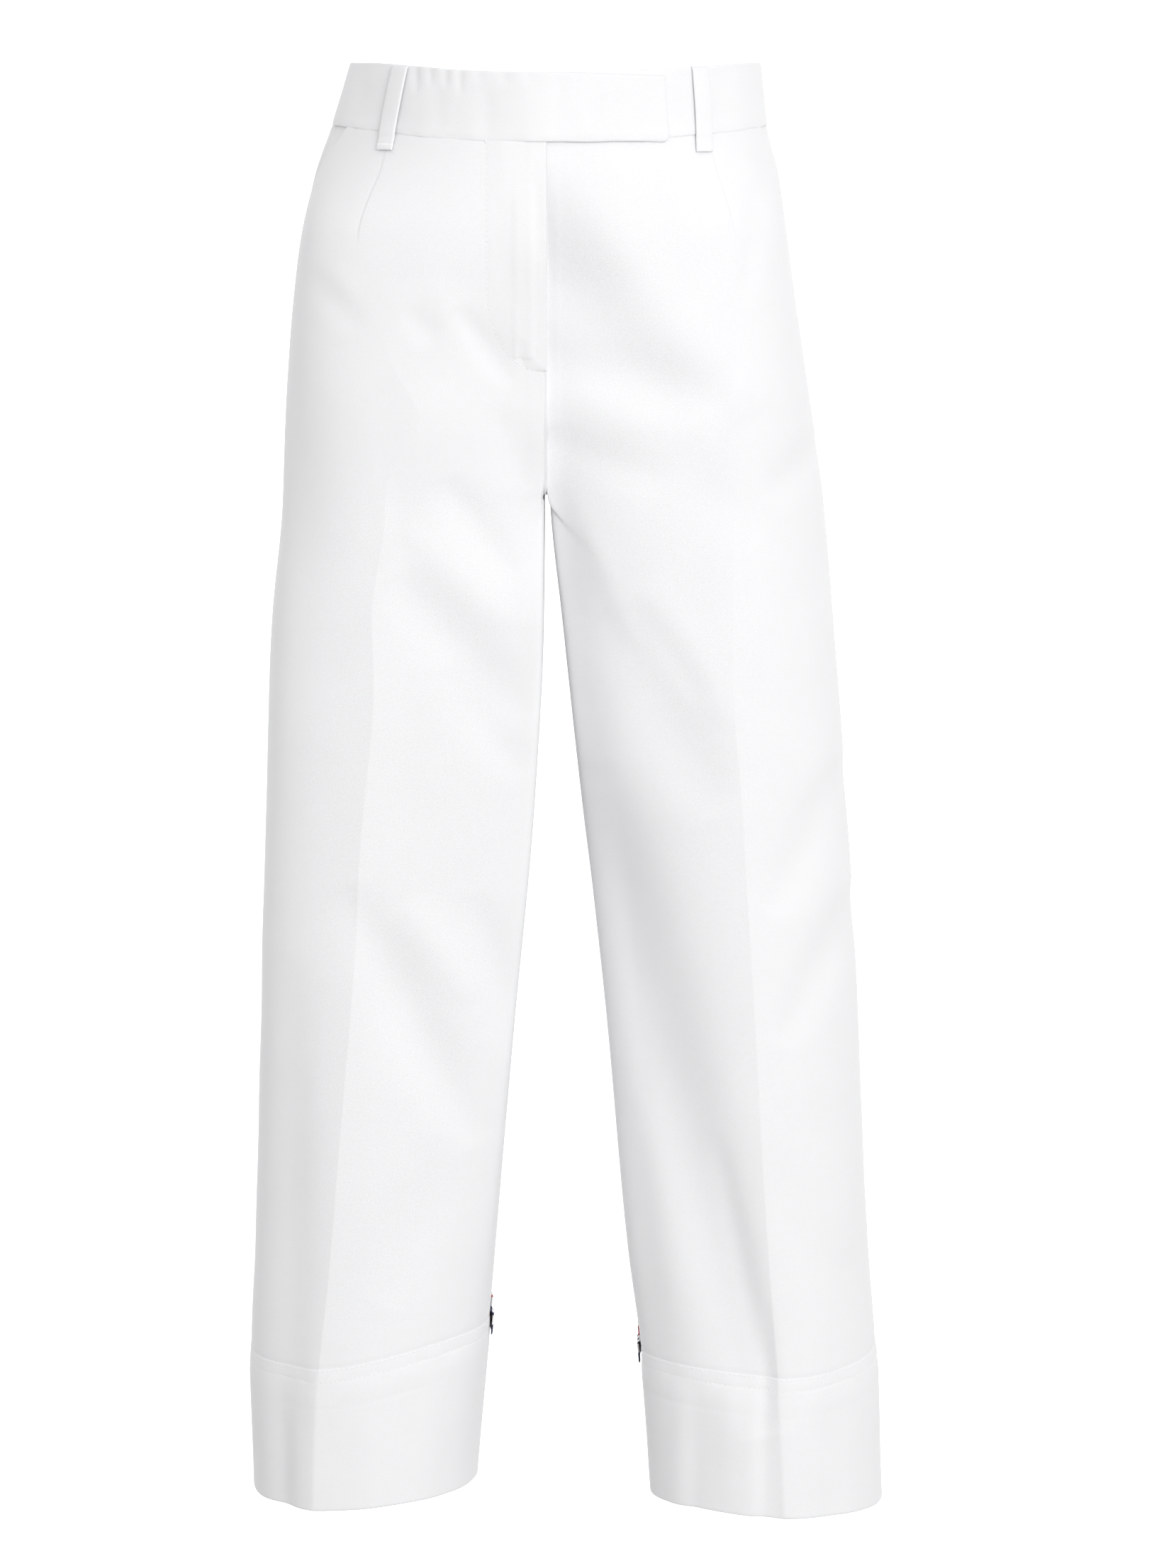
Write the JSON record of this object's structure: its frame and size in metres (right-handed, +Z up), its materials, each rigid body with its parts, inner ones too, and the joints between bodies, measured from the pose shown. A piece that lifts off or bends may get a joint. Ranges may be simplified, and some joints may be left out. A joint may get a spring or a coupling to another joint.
{
  "type": "capri pants",
  "caption": "White cotton-twill capri trousers, hollow as if worn: straight waistband with a squared tab, fly front, slant pockets, belt loops, pressed creases and deep cuffs with woven tape at the seam",
  "frame": {"origin": "centre of the waistband ring, half way up the band at the side seams, where the wearer's waist holds the garment", "axes": "+Z up along the body, front facing -Y, the wearer's right leg at -X"},
  "size_m": [0.4213, 0.2512, 0.9432],
  "materials": {
    "twill": "matte, smooth stretch cotton twill, pressed",
    "tape": "matte woven tape in white, red and navy"
  },
  "bodies": {
    "root": {"front_right": "twill", "front_left": "twill", "back_right": "twill", "back_left": "twill", "pocket_facing_right": "twill", "pocket_facing_left": "twill", "fly_placket": "twill", "waistband_right": "twill", "waistband_left": "twill", "belt_loop_front_right": "twill", "belt_loop_front_left": "twill", "belt_loop_back_right": "twill", "belt_loop_back_left": "twill", "belt_loop_back_centre": "twill", "cuff_right": "twill", "cuff_left": "twill", "hem_tape_right": "tape", "hem_tape_left": "tape"}
  },
  "joints": []
}
